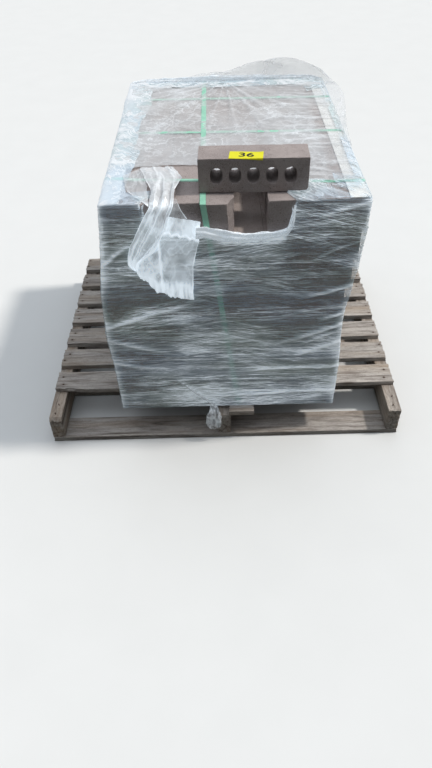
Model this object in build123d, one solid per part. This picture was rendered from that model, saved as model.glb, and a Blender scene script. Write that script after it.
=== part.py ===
from build123d import *
import math
import os

# Sizes in millimetres. X runs along the pallet's long side, Y to the rear, Z up.
# The origin is on the floor under the middle of the pallet.

# Pallet
pallet_length = 1219.0
stringer_length = 1016.0
stringer_thickness = 44.0
stringer_height = 89.0
board_width = 96.0
board_thickness = 19.0
deck_board_count = 8
bottom_board_count = 5
stub_length = 92.0
stub_shift = 58.0
splinter_length = 120.0
splinter_depth = 14.0
worn_corner = 14.0
nail_radius = 1.7
nail_stand = 7.0

# Bricks
brick_length = 295.0
brick_width = 89.0
brick_height = 94.0
side_joint = 0.7
end_joint = 1.0
column_count = 8
row_count = 3
course_count = 8
hole_count = 5
hole_pitch = 49.4
hole_width = 33.0
hole_height = 44.0

# Where the load stands on the pallet
load_shift = 40.0
front_setback = 38.0
missing_column = 4

# How far each course stands to the right of the top one, the lowest first
course_slips = [-29.0, -27.0, -32.0, -37.0, -34.0, -20.0, -9.0, 0.0]

# The broken brick beside the gap and the loose brick over it
pull_forward = 13.0
break_size = 24.0
break_drop = 75.0
loose_shift = 93.5
loose_setback = 86.0
loose_turn = -1.4
loose_chip = 9.0

# Straps and edge boards
strap_width = 16.0
strap_thickness = 0.9
front_strap_y = 165.0
middle_strap_y = 513.0
rear_strap_y = 823.0
front_strap_skew = -4.6
middle_strap_skew = -2.3
rear_strap_skew = -1.75
long_strap_inset = 5.35
long_strap_drift = 94.0
strap_dip_run = 30.0
strap_slack = 4.0
strap_slack_drop = 22.0
strap_flat_drop = 90.0
edge_leg = 50.0
edge_thickness = 3.0

# Films, made 1 mm thick so that they are closed solids
film_thickness = 1.0
film_gap = 6.0
tear_drop = 115.0
tear_left = 105.0
tear_right = 525.0
tear_flare = 40.0
tear_corner = 60.0
top_sheet_setback = 224.0
hood_height = 92.0
hood_depth = 165.0
hood_shoulder = 60.0
hood_crown = 160.0
flap_length = 300.0
flap_swing = 4.0
flap_lift = 3.0
tail_length = 99.0
tail_width = 26.0
tail_depth = 9.0
tail_lean = 36.0

# Sticker
sticker_length = 90.0
sticker_width = 46.0
sticker_thickness = 0.4
sticker_shift = -21.5
sticker_turn = -5.0
sticker_overhang = 3.0

# Everything below follows from the sizes above
LOW = (Align.MIN, Align.MIN, Align.MIN)
MID = (Align.CENTER, Align.MIN, Align.MIN)
pallet_front = -stringer_length / 2
stringer_base = board_thickness
stringer_top = stringer_base + stringer_height
deck_top = stringer_top + board_thickness
column_pitch = brick_width + side_joint
load_width = column_count * column_pitch - side_joint
load_left = load_shift - load_width / 2
load_right = load_left + load_width
load_front = pallet_front + front_setback
row_pitch = brick_length + end_joint
cross_row_front = load_front + row_count * row_pitch
load_rear = cross_row_front + brick_width
load_base = deck_top
load_top = load_base + course_count * brick_height
top_course_base = load_top - brick_height
film_top = load_top + film_gap
film_front = load_front - film_gap - film_thickness


def block(width, depth, height, x, y, z):
    return Pos(x, y, z) * Box(width, depth, height, align=LOW)


def stringer(x_centre):
    wood = Box(stringer_thickness, stringer_length, stringer_height, align=MID)
    return Pos(x_centre, pallet_front, stringer_base) * wood


def worn_stringer(x_centre):
    wood = stringer(x_centre)
    front = wood.edges().filter_by(Axis.X).sort_by(Axis.Y)[:2]
    return chamfer(front.sort_by(Axis.Z)[-1], worn_corner)


def board(y_front, z_base):
    wood = Box(pallet_length, board_width, board_thickness, align=MID)
    return Pos(0, y_front, z_base) * wood


def deck_board_front(number):
    pitch = (stringer_length - board_width) / (deck_board_count - 1)
    return pallet_front + (number - 1) * pitch


def deck_board(number):
    return board(deck_board_front(number), stringer_top)


def splintered_board():
    wood = deck_board(2)
    left = -pallet_length / 2
    front = deck_board_front(2)
    corners = [
        (left - 1, front - 1),
        (left + splinter_length, front - 1),
        (left + 0.7 * splinter_length, front + 0.4 * splinter_depth),
        (left + 0.3 * splinter_length, front + 0.6 * splinter_depth),
        (left - 1, front + splinter_depth),
    ]
    face = make_face(Polyline(*corners, close=True))
    missing = extrude(Pos(0, 0, stringer_top - 1) * face, board_thickness + 2)
    return wood - missing


def lead_board_stub():
    wood = block(stub_length, board_width, board_thickness, 0, 0, 0)
    broken = [
        (-1, -1),
        (9, -1),
        (3, 0.4 * board_width),
        (7, 0.7 * board_width),
        (-1, board_width + 1),
    ]
    face = make_face(Polyline(*broken, close=True))
    cut = extrude(Pos(0, 0, -1) * face, board_thickness + 2)
    x_left = stub_shift - stub_length / 2
    return Pos(x_left, pallet_front, stringer_top) * (wood - cut)


def bottom_board(number):
    pitch = (stringer_length - board_width) / (bottom_board_count - 1)
    return board(pallet_front + (number - 1) * pitch, 0)


def lead_board_nails():
    nail = Cylinder(nail_radius, nail_stand, align=(Align.CENTER, Align.CENTER, Align.MIN))
    outer = pallet_length / 2 - stringer_thickness / 2
    nails = []
    for x in (-outer, outer):
        for along in (0.3, 0.75):
            y = pallet_front + along * board_width
            nails.append(Pos(x + 12 * (along - 0.5), y, stringer_top) * nail)
    return nails


def plain_brick():
    return Box(brick_width, brick_length, brick_height, align=LOW)


def hole_centres(length):
    count = hole_count if length > 0.9 * brick_length else 2
    first = length / 2 - (count - 1) * hole_pitch / 2
    return [first + number * hole_pitch for number in range(count)]


def simple_hole():
    half = hole_width / 2
    tall = hole_height / 2
    corners = [(-half, -tall / 2), (0, -tall), (half, -tall / 2)]
    corners += [(half, tall / 2), (0, tall), (-half, tall / 2)]
    face = make_face(Polyline(*corners, close=True))
    return extrude(Plane.YZ * face, brick_width + 2)


def oval_hole():
    face = Rot(0, 0, 90) * SlotOverall(hole_height, hole_width)
    return extrude(Plane.YZ * face, brick_width + 2)


def cored_brick(length, hole):
    brick = Box(brick_width, length, brick_height, align=LOW)
    holes = [Pos(-1, y, brick_height / 2) * hole for y in hole_centres(length)]
    return brick - holes


plain = plain_brick()
cored = cored_brick(brick_length, simple_hole())
closer_length = load_width - 2 * (brick_length + side_joint)
closer = cored_brick(closer_length, simple_hole())
open_cored = cored_brick(brick_length, oval_hole())


def column_x(column):
    return load_left + column * column_pitch


def row_y(row):
    return load_front + row * row_pitch


def course_z(course):
    return load_base + (course - 1) * brick_height


def course_shift(course):
    return course_slips[course - 1]


def side_line(side):
    outer = min if side < 0 else max
    shifts = [course_slips[0]]
    for below, above in zip(course_slips, course_slips[1:]):
        shifts.append(outer(below, above))
    return [(shift, course_z(number + 1)) for number, shift in enumerate(shifts)]


def cross_row(z):
    turned = Rot(0, 0, -90)
    step = brick_length + side_joint
    rear = load_rear
    bricks = [Pos(load_left, rear, z) * turned * cored]
    bricks.append(Pos(load_left + step, rear, z) * turned * closer)
    bricks.append(Pos(load_right - brick_length, rear, z) * turned * cored)
    return bricks


def side_bricks(row, z):
    last = column_count - 1
    return [Pos(column_x(column), row_y(row), z) * cored for column in (0, last)]


def inner_bricks(row, z):
    columns = range(1, column_count - 1)
    return [Pos(column_x(column), row_y(row), z) * plain for column in columns]


def lower_course(course):
    z = course_z(course)
    bricks = inner_bricks(0, z)
    for row in range(row_count):
        bricks += side_bricks(row, z)
    bricks += cross_row(z)
    return [Pos(course_shift(course), 0, 0) * brick for brick in bricks]


def core_slab(course):
    width = (column_count - 2) * column_pitch - side_joint
    depth = (row_count - 1) * row_pitch - end_joint
    x = column_x(1) + course_shift(course)
    return block(width, depth, brick_height, x, row_y(1), course_z(course))


def hidden_core():
    core = core_slab(1)
    for course in range(2, course_count):
        core += core_slab(course)
    return core


def top_course():
    z = top_course_base
    bricks = []
    for row in range(row_count):
        bricks += side_bricks(row, z)
        if row > 0:
            bricks += inner_bricks(row, z)
    for column in range(1, column_count - 1):
        if abs(column - missing_column) > 1:
            bricks.append(Pos(column_x(column), row_y(0), z) * plain)
    return bricks + cross_row(z)


def gap_brick():
    return Pos(column_x(missing_column + 1), row_y(0), top_course_base) * open_cored


def corner_break(brick, corner, across, back, down):
    x, y, z = corner
    along = Vector(-across, 0, 0)
    deep = Vector(0, back, 0)
    drop = Vector(0, 0, down)
    first = deep - along
    second = drop - along
    normal = first.cross(second).normalized()
    outward = Vector(1, -1, 1 if down < 0 else -1)
    if normal.dot(outward) < 0:
        normal = normal * -1
    origin = Vector(x, y, z) + along
    cut = Plane(origin=(origin.X, origin.Y, origin.Z), z_dir=(normal.X, normal.Y, normal.Z))
    return split(brick, bisect_by=cut, keep=Keep.BOTTOM)


def broken_brick():
    corner = (brick_width, 0, brick_height)
    brick = corner_break(open_cored, corner, break_size, break_size, -break_drop)
    x = column_x(missing_column - 1)
    return Pos(x, load_front - pull_forward, top_course_base) * brick


def loose_place():
    front = pallet_front + loose_setback
    base = load_top + 2 * strap_thickness
    middle = Pos(loose_shift, front + brick_width / 2, base)
    return middle * Rot(0, 0, loose_turn)


def loose_brick():
    brick = Rot(0, 0, 90) * open_cored
    brick = Pos(brick_length / 2, -brick_width / 2, 0) * brick
    corner = (brick_length / 2, -brick_width / 2, 0)
    brick = corner_break(brick, corner, loose_chip, loose_chip, 2 * loose_chip)
    return loose_place() * brick


def sticker():
    label = Box(sticker_length, sticker_width, sticker_thickness, align=MID)
    y = -brick_width / 2 - sticker_overhang
    return loose_place() * Pos(sticker_shift, y, brick_height) * Rot(0, 0, sticker_turn) * label


def ring(corners, width, plane):
    inner = make_face(Polyline(*corners, close=True))
    outer = offset(inner, strap_thickness, kind=Kind.INTERSECTION)
    return extrude(plane * (outer - inner), width / 2, both=True)


def cross_strap(y_set, skew, dips):
    angle = math.radians(abs(skew))
    reach = load_width / 2 + edge_thickness
    half = (reach + strap_width / 2 * math.sin(angle)) / math.cos(angle)
    over = load_top + edge_thickness
    corners = [(half + shift, z) for shift, z in side_line(1)]
    corners.append((half, over))
    if dips:
        shoulder = load_width / 2 - edge_leg - strap_thickness
        valley = shoulder - strap_dip_run
        corners += [(shoulder, over), (valley, load_top)]
        corners += [(-valley, load_top), (-shoulder, over)]
    corners.append((-half, over))
    corners += [(-half + shift, z) for shift, z in reversed(side_line(-1))]
    loop = ring(corners, strap_width, Plane.XZ)
    squeezed = Box(2 * load_width, strap_width + 2, 4 * strap_thickness, align=MID)
    squeezed = Pos(0, -strap_width / 2 - 1, load_base - 4 * strap_thickness) * squeezed
    return Pos(load_shift, pallet_front + y_set, 0) * Rot(0, 0, skew) * (loop - squeezed)


def long_strap():
    over = load_top + edge_thickness + strap_thickness
    low = load_top + strap_thickness
    nose = load_front - pull_forward
    middle = pallet_front + middle_strap_y - strap_width
    dip = pallet_front + front_strap_y + 4 * strap_width
    corners = [
        (load_rear, load_base),
        (load_rear, over),
        (middle, over),
        (dip, low),
        (nose, low),
        (nose, top_course_base),
        (load_front - strap_slack, top_course_base - strap_slack_drop),
        (load_front, top_course_base - strap_flat_drop),
        (load_front, load_base),
    ]
    loop = ring(corners, 4 * long_strap_drift, Plane.YZ)
    half = strap_width / 2
    above = block(strap_width, 2 * stringer_length, 2 * load_top, -half, load_front, load_base)
    slant = [
        (-half, low + strap_thickness),
        (half, low + strap_thickness),
        (half + long_strap_drift, load_base),
        (-half + long_strap_drift, load_base),
    ]
    band = extrude(Plane.XZ * make_face(Polyline(*slant, close=True)), 4 * pull_forward)
    band = Pos(0, load_front + 1, 0) * band
    x = column_x(missing_column - 1) + long_strap_inset
    return Pos(x, 0, 0) * ((loop & above) + (loop & band))


def edge_board(side):
    length = load_rear - load_front
    top = Box(edge_leg + edge_thickness, length, edge_thickness, align=LOW)
    leg = Box(edge_thickness, length, edge_leg, align=LOW)
    angle = Pos(-edge_leg, 0, 0) * top + Pos(0, 0, -edge_leg) * leg
    if side < 0:
        angle = mirror(angle, Plane.YZ)
        return Pos(load_left, load_front, load_top) * angle
    return Pos(load_right, load_front, load_top) * angle


def leaning_block(out, over):
    left = load_left - out
    right = load_right + out
    corners = [(right + course_slips[0], deck_top - over)]
    corners += [(right + shift, z) for shift, z in side_line(1)[1:]]
    corners += [(right, film_top + over), (left, film_top + over)]
    corners += [(left + shift, z) for shift, z in reversed(side_line(-1)[1:])]
    corners.append((left + course_slips[0], deck_top - over))
    face = make_face(Polyline(*corners, close=True))
    depth = load_rear - load_front + 2 * out
    return Pos(0, load_rear + out, 0) * extrude(Plane.XZ * face, depth)


def film_wrap():
    outer = leaning_block(film_gap + film_thickness, 0)
    inner = leaning_block(film_gap, 1)
    low = load_top - tear_drop
    left = load_left + tear_left
    right = load_left + tear_right
    corners = [
        (left - tear_flare, film_top + film_thickness),
        (left, load_top - 0.6 * tear_drop),
        (left + tear_corner, low),
        (right - tear_corner, low),
        (right, load_top - 0.7 * tear_drop),
        (right + tear_flare / 4, film_top + film_thickness),
    ]
    face = make_face(Polyline(*corners, close=True))
    torn = extrude(Plane.XZ * face, 3 * film_gap)
    return outer - inner - Pos(0, load_front + film_thickness, 0) * torn


def film_top_sheet():
    out = film_gap + film_thickness
    front = load_front + top_sheet_setback
    depth = load_rear + out - front
    width = load_width + 2 * out
    return block(width, depth, film_thickness, load_left - out, front, film_top)


def film_hood():
    base = film_top + film_thickness
    rear = load_rear + film_gap

    def layer(inset, up, skin):
        left = load_left + inset + skin
        right = load_right + film_gap - 0.35 * inset - skin
        front = rear - hood_depth + 0.5 * inset + skin
        back = rear - 0.25 * inset - skin
        corners = [(left, back), (left + 0.3 * load_width, front)]
        corners += [(right, front), (right, back)]
        face = make_face(Polyline(*corners, close=True))
        return Pos(0, 0, base + up) * face

    def shell(height, skin):
        foot = layer(0, 0 if skin == 0 else -film_thickness, skin)
        shoulder = layer(hood_shoulder, 0.7 * height, skin)
        crown = layer(hood_crown, height, skin)
        return loft([foot, shoulder, crown], ruled=True)

    wall = 2 * film_thickness
    return shell(hood_height, 0) - shell(hood_height - wall, wall)


def film_flap():
    sheet_front = load_front + top_sheet_setback
    upper = film_top + film_thickness
    hang = film_front - film_thickness
    bottom = load_top - flap_length
    thick = film_thickness
    corners = [
        (sheet_front, film_top),
        (sheet_front, upper),
        (load_front - flap_lift, load_top + flap_lift + thick),
        (hang, load_top - film_gap),
        (hang - flap_swing, bottom),
        (hang - flap_swing + thick, bottom),
        (hang + thick, load_top - film_gap),
        (load_front - flap_lift, load_top + flap_lift),
    ]
    strip = extrude(Plane.YZ * make_face(Polyline(*corners, close=True)), load_width)
    strip = Pos(load_left, 0, 0) * strip
    outline = [
        (0.12, 0.10),
        (0.27, 0.10),
        (0.25, -0.14),
        (0.365, -0.19),
        (0.34, -0.65),
        (0.325, -1.0),
        (0.24, -0.98),
        (0.18, -0.94),
        (0.125, -0.80),
        (0.08, -0.63),
        (0.10, -0.49),
        (0.15, -0.14),
    ]
    corners = [(load_left + u * load_width, load_top + v * flap_length) for u, v in outline]
    face = make_face(Polyline(*corners, close=True))
    shape = extrude(Plane.XZ * face, 2 * stringer_length)
    return strip & Pos(0, load_rear, 0) * shape


def film_tail():
    top = deck_top + 0.25 * tail_length

    def layer(lean, y, z, wide, deep):
        slice_face = Rectangle(wide * tail_width, deep * tail_depth, align=(Align.CENTER, Align.MAX))
        return Pos(lean * tail_lean - tail_lean / 3, y, z) * slice_face

    stations = [
        layer(-1, film_front, top, 0.9, 0.6),
        layer(-0.5, film_front - tail_depth, deck_top + film_thickness, 0.9, 1),
        layer(0, pallet_front - film_thickness, stringer_top + film_thickness, 1, 1),
        layer(0.2, pallet_front - film_thickness, top - tail_length, 1.5, 1.3),
    ]
    return loft(stations, ruled=True)


def save(shapes, name):
    if isinstance(shapes, list):
        solids = []
        for shape in shapes:
            solids += list(shape.solids())
        shapes = solids[0] if len(solids) == 1 else Compound(children=solids)
    shapes.label = name
    export_step(shapes, os.path.join("parts", name + ".step"))


os.makedirs("parts", exist_ok=True)
stringer_reach = pallet_length / 2 - stringer_thickness / 2
save(worn_stringer(-stringer_reach), "stringer_left")
save(stringer(0), "stringer_middle")
save(stringer(stringer_reach), "stringer_right")
save(lead_board_stub(), "lead_board_stub")
save(lead_board_nails(), "lead_board_nails")
save(splintered_board(), "deck_board_2")
for number in range(3, deck_board_count + 1):
    save(deck_board(number), f"deck_board_{number}")
for number in range(1, bottom_board_count + 1):
    save(bottom_board(number), f"bottom_board_{number}")
for course in range(1, course_count):
    save(lower_course(course), f"course_{course}_bricks")
save(hidden_core(), "hidden_brick_core")
save(top_course(), "top_course_bricks")
save(broken_brick(), "broken_brick")
save(gap_brick(), "gap_brick")
save(loose_brick(), "loose_brick")
save(cross_strap(front_strap_y, front_strap_skew, True), "strap_front")
save(cross_strap(middle_strap_y, middle_strap_skew, False), "strap_middle")
save(cross_strap(rear_strap_y, rear_strap_skew, False), "strap_rear")
save(long_strap(), "strap_lengthwise")
save(edge_board(-1), "edge_board_left")
save(edge_board(1), "edge_board_right")
save(film_wrap(), "film_wrap")
save(film_top_sheet(), "film_top_sheet")
save(film_hood(), "film_hood")
save(film_flap(), "film_flap")
save(film_tail(), "film_tail")
save(sticker(), "lot_sticker")
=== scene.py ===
import math

import bmesh
import bpy
import numpy as np
from mathutils import Matrix, Vector


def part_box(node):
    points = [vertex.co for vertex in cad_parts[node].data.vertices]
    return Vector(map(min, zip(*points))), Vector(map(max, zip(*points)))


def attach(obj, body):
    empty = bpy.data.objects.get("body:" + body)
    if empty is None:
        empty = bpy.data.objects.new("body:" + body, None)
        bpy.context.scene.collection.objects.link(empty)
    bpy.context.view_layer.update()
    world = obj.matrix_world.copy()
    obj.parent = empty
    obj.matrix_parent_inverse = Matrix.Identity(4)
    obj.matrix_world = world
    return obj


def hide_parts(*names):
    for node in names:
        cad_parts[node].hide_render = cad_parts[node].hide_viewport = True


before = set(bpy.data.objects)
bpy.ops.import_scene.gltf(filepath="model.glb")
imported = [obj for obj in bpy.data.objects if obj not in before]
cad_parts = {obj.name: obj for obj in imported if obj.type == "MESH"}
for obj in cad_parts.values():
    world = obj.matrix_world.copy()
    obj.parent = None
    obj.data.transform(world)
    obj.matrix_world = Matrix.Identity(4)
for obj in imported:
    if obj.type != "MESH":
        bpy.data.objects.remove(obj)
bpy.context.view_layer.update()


def node_box(node):
    """The lowest and the highest corner of a CAD node."""
    return [np.array(corner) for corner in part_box(node)]


# Sizes are in metres. X runs along the pallet's long side, Y to the rear, Z up.
MM = 0.001
CRISP_ANGLE = math.radians(24)

# Camera, fitted to the pallet's corners, with its angles in degrees
IMAGE_HEIGHT = 768
FOCAL_PIXELS = 623.0
CAMERA_PLACE = (-0.0043, -2.0066, 1.6499)
CAMERA_PITCH = 42.888
CAMERA_YAW = -0.816
CAMERA_ROLL = -2.050

# The load, read from the frame
top_low, top_high = node_box("top_course_bricks")
gap_low, gap_high = node_box("gap_brick")
load_left, load_front, top_course_base = top_low
load_right, load_rear, load_top = top_high
load_middle, load_half = (top_low + top_high)[:2] / 2, (top_high - top_low)[:2] / 2
brick_width, brick_length, brick_height = gap_high - gap_low
deck_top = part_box("course_1_bricks")[0][2]
film_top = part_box("film_top_sheet")[1][2]
column_count = 8
row_count = 3
missing_column = 4
hole_count = 5
side_joint = (load_right - load_left - column_count * brick_width) / (column_count - 1)
column_pitch = brick_width + side_joint
cross_row_front = load_rear - brick_width
row_pitch = (cross_row_front - load_front) / row_count
hole_pitch = 49.4 * MM
hole_width = 33.0 * MM
hole_height = 44.0 * MM


# Smooth noise, worked out for whole arrays

lattice = np.random.default_rng(11).random(8191) * 2 - 1


def noise(x, y, z=0.0, seed=0):
    """Random values at whole-number points, blended in between with a smooth step."""
    x, y, z = np.broadcast_arrays(x, y, z)
    cells = [np.floor(axis).astype(np.int64) for axis in (x, y, z)]
    steps = [axis - cell for axis, cell in zip((x, y, z), cells)]
    steps = [step * step * (3 - 2 * step) for step in steps]
    total = np.zeros(x.shape)
    for corner in range(8):
        key = np.full(x.shape, seed * 7919, dtype=np.int64)
        weight = np.ones(x.shape)
        for axis, prime in enumerate((73856093, 19349663, 83492791)):
            bit = (corner >> axis) & 1
            key = key ^ ((cells[axis] + bit) * prime)
            weight = weight * (steps[axis] if bit else 1 - steps[axis])
        total += weight * lattice[key % len(lattice)]
    return total


def rough(x, y, z=0.0, seed=0, octaves=3):
    """Noise added to itself at double the frequency and half the height, several times."""
    total = 0.0
    for octave in range(octaves):
        scale = 2 ** octave
        total += noise(x * scale, y * scale, z * scale, seed + octave) / scale
    return total


def creases(x, y, z=0.0, seed=0, octaves=2):
    """Sharp crests from 0 to 1 where the noise passes through zero."""
    return np.clip(1 - 2.5 * np.abs(rough(x, y, z, seed, octaves)), 0, 1) ** 2


def smooth_step(low, high, value):
    """0 on low's side, 1 on high's side, and a smooth slope between."""
    share = np.clip((value - low) / (high - low), 0, 1)
    return share * share * (3 - 2 * share)


def bell(value, width):
    """1 where a value is 0, falling off to both sides."""
    return np.exp(-(value / width) ** 2)


def stacked(*parts):
    """Numbers and arrays, stretched to one shape, as the last axis of a new array."""
    return np.stack(np.broadcast_arrays(*parts), axis=-1)


# Meshes from grids

def add_object(name, data):
    """An object at the origin of the scene."""
    item = bpy.data.objects.new(name, data)
    bpy.context.scene.collection.objects.link(item)
    return item


def make_piece(name, vertices, faces, material, slot):
    """A mesh object at the origin from corner positions and four-sided faces."""
    mesh = bpy.data.meshes.new(name)
    mesh.vertices.add(len(vertices))
    mesh.vertices.foreach_set("co", np.asarray(vertices, dtype=np.float32).ravel())
    mesh.loops.add(faces.size)
    mesh.loops.foreach_set("vertex_index", np.asarray(faces, dtype=np.int32).ravel())
    mesh.polygons.add(len(faces))
    mesh.polygons.foreach_set("loop_start", np.arange(0, faces.size, 4, dtype=np.int32))
    mesh.update(calc_edges=True)
    mesh.polygons.foreach_set("use_smooth", np.ones(len(faces), dtype=bool))
    mesh.materials.append(material)
    piece = add_object(name, mesh)
    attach(piece, "root")
    return piece


def grid_faces(rows, columns, closed=False):
    """Quads between neighbouring points of a grid stored row by row."""
    index = np.arange(rows * columns).reshape(rows, columns)
    if closed:
        index = np.concatenate([index, index[:, :1]], axis=1)
    quads = np.stack([index[:-1, :-1], index[:-1, 1:], index[1:, 1:], index[1:, :-1]], axis=-1)
    return quads.reshape(-1, 4)


def join_grids(grids):
    """One array of corners and one of quads from several grids of points."""
    faces, start = [], 0
    for grid in grids:
        faces.append(grid_faces(*grid.shape[:2]) + start)
        start += grid.shape[0] * grid.shape[1]
    return np.concatenate([grid.reshape(-1, 3) for grid in grids]), np.concatenate(faces)


def weld(vertices, faces):
    """Corners at one place, to a micrometre, become one corner. The cells that they
    fall in are shifted, so that round numbers lie inside a cell."""
    cells_per_metre, shift = 1e6, 0.37
    keys = np.floor(vertices * cells_per_metre + shift).astype(np.int64)
    first, where = np.unique(keys, axis=0, return_index=True, return_inverse=True)[1:]
    return vertices[first], where.reshape(-1)[faces]


def face_outwards(piece):
    """Turns every face of a closed mesh so that it points outwards, and keeps the
    edges where faces meet at more than CRISP_ANGLE sharp."""
    shell = bmesh.new()
    shell.from_mesh(piece.data)
    bmesh.ops.recalc_face_normals(shell, faces=shell.faces)
    shell.to_mesh(piece.data)
    shell.free()
    piece.data.set_sharp_from_angle(angle=CRISP_ANGLE)


def give_values(piece, **values):
    """One number for each corner point, by name, for the material to read."""
    for name, numbers in values.items():
        layer = piece.data.attributes.new(name, "FLOAT", "POINT")
        layer.data.foreach_set("value", np.asarray(numbers, dtype=np.float32))


# Blocks with worn edges, for bricks and boards

def edge_lines(length, step, fine):
    """Places along one side: even steps, and one more line close to each end."""
    count = max(1, round((length - 2 * fine) / step))
    return np.concatenate([[0], np.linspace(fine, length - fine, count + 1), [length]])


def plane_grid(first, second, level, turn):
    """A flat grid at one level, with its three axes rolled round by turn."""
    return np.roll(stacked(first[:, None], second, level), turn, axis=-1)


def box_grids(xs, ys, zs):
    """The six sides of a box as grids of points."""
    grids = []
    for end in (0, -1):
        grids.append(plane_grid(xs, ys, zs[end], 0))
        grids.append(plane_grid(ys, zs, xs[end], 1))
        grids.append(plane_grid(zs, xs, ys[end], 2))
    return grids


def round_edges(points, size, radius):
    """Pulls each point to within a radius of the box's inner core.
    Returns the new points and the outward direction at each."""
    radius = radius[:, None]
    core = np.clip(points, radius, size - radius)
    away = points - core
    reach = np.maximum(np.linalg.norm(away, axis=-1, keepdims=True), 1e-9)
    return core + away * np.minimum(1, radius / reach), away / reach


def cut_corner(points, origin, normal, seed):
    """Points beyond a plane move back onto it, with a rough broken surface."""
    normal = np.array(normal) / np.linalg.norm(normal)
    beyond = (points - np.array(origin)) @ normal
    grit = 1.2 * MM * rough(*np.moveaxis(points / (7 * MM), -1, 0), seed)
    beyond = np.where(beyond > 0, beyond + grit, 0)
    return points - beyond[..., None] * normal


def hole_rim(angle, depth, seed):
    """An upright oval round the hole's centre, with an uneven edge."""
    around = [1.7 * np.cos(angle), 1.7 * np.sin(angle), depth / (14 * MM)]
    uneven = 1 + 0.055 * rough(*around, seed)
    x = uneven * hole_width / 2 * np.cos(angle)
    straight = (hole_height - hole_width) / 2
    z = uneven * hole_width / 2 * np.sin(angle) + straight * np.clip(3 * np.sin(angle), -1, 1)
    return x, z


def cored_brick(length, holes, detail, seed):
    """Corners and quads of a brick with a row of oval holes through its width.
    X is along the length, Y through the width and Z up, from one lower corner.
    Detail is the number of steps across a hole's cell, up the side and through."""
    across, upright, through = detail
    fine, rim_width, steps_deep = 2.2 * MM, 1.3 * MM, 12
    ys = edge_lines(brick_width, brick_width / steps_deep, fine)
    zs = edge_lines(brick_height, brick_height / upright, fine)
    first = length / 2 - holes * hole_pitch / 2
    margin = edge_lines(first, first / 3, fine)[:-2]
    far_margin = length - margin[::-1]
    cells = first + np.arange(holes * across + 1) * hole_pitch / across
    # The four plain sides, and a strip at each end of the two sides with holes
    sides = box_grids(np.concatenate([margin, cells, far_margin]), ys, zs)
    grids = [grid for grid in sides if np.ptp(grid[..., 1]) > 0]
    strips = np.append(margin, first), np.insert(far_margin, 0, length - first)
    grids += [plane_grid(zs, strip, side, 2) for side in (0, brick_width) for strip in strips]
    # Round each hole, rows of points run from its rim out to its cell's edge
    spread = np.array([0, 0.03, 0.10, 0.3, 0.65, 0.92, 1])[:, None]
    rim_sink = rim_width * np.clip(1 - spread / 0.1, 0, 1) ** 2
    depth = np.linspace(0, brick_width, through + 1)[:, None]
    for hole in range(holes):
        cell = cells[hole * across:(hole + 1) * across + 1]
        ring_x = np.concatenate([
            cell, np.full(len(zs) - 2, cell[-1]), cell[::-1], np.full(len(zs) - 1, cell[0])])
        ring_z = np.concatenate([
            np.zeros(len(cell)), zs[1:-1], np.full(len(cell), brick_height), zs[-2::-1]])
        centre_x, centre_z = first + hole * hole_pitch + hole_pitch / 2, brick_height / 2
        angle = np.arctan2(ring_z - centre_z, ring_x - centre_x)
        for side, inward in ((0, 1), (brick_width, -1)):
            rim_x, rim_z = hole_rim(angle, side, seed + hole)
            x = (centre_x + rim_x) * (1 - spread) + ring_x * spread
            z = (centre_z + rim_z) * (1 - spread) + ring_z * spread
            grids.append(stacked(x, side + inward * rim_sink, z))
        rim_x, rim_z = hole_rim(angle[None, :], depth, seed + hole)
        y = np.clip(depth, rim_width, brick_width - rim_width)
        grids.append(stacked(centre_x + rim_x, y, centre_z + rim_z))
    return weld(*join_grids(grids))


def own_tone(seed, shift, count):
    """One random tone from 0 to 1, for every corner of a brick or a board."""
    return np.full(count, noise(seed, 0.5, 0.5, shift) * 0.5 + 0.5)


def brick_piece(name, bricks):
    """One mesh from several bricks, each (corner, along X, length, holes, seed, detail,
    cuts). Edges are rounded unevenly, and each brick has its own tone."""
    all_vertices, all_faces, tones, start = [], [], [], 0
    for corner, along_x, length, holes, seed, detail, cuts in bricks:
        vertices, faces = cored_brick(length, holes, detail, seed)
        x, y, z = vertices.T
        wear = 1.2 * MM + 2.6 * MM * np.clip(rough(x * 45, y * 45, z * 45, seed), 0, 1) ** 2
        shaped = round_edges(vertices, np.array([length, brick_width, brick_height]), wear)[0]
        for origin, normal in cuts:
            shaped = cut_corner(shaped, origin, normal, seed)
        shaped += 0.35 * MM * stacked(*[rough(x * 60, y * 60, z * 60, seed + axis) for axis in (3, 5, 7)])
        if not along_x:
            shaped = shaped[:, [1, 0, 2]]
        all_vertices.append(shaped + np.array(corner))
        all_faces.append(faces + start)
        tones.append(own_tone(seed * 3.7, 9, len(vertices)))
        start += len(vertices)
    piece = make_piece(name, np.concatenate(all_vertices), np.concatenate(all_faces), open_clay, "brick")
    face_outwards(piece)
    give_values(piece, tone=np.concatenate(tones))
    return piece


# Boards

def deck_nails():
    """Two nails where each deck board crosses an outer stringer, in X and Y, each a
    little out of line at random."""
    rng, stray_x, stray_y = np.random.default_rng(5), 12 * MM, 8 * MM
    places = {}
    for board in range(2, 9):
        low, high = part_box(f"deck_board_{board}")
        places[f"deck_board_{board}"] = nails = []
        for stringer in ("stringer_left", "stringer_right"):
            middle = (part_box(stringer)[0][0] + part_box(stringer)[1][0]) / 2
            for share in (0.25, 0.75):
                nails.append((middle + rng.uniform(-stray_x, stray_x),
                              low[1] + share * (high[1] - low[1]) + rng.uniform(-stray_y, stray_y)))
    return places


nail_places = deck_nails()


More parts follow.
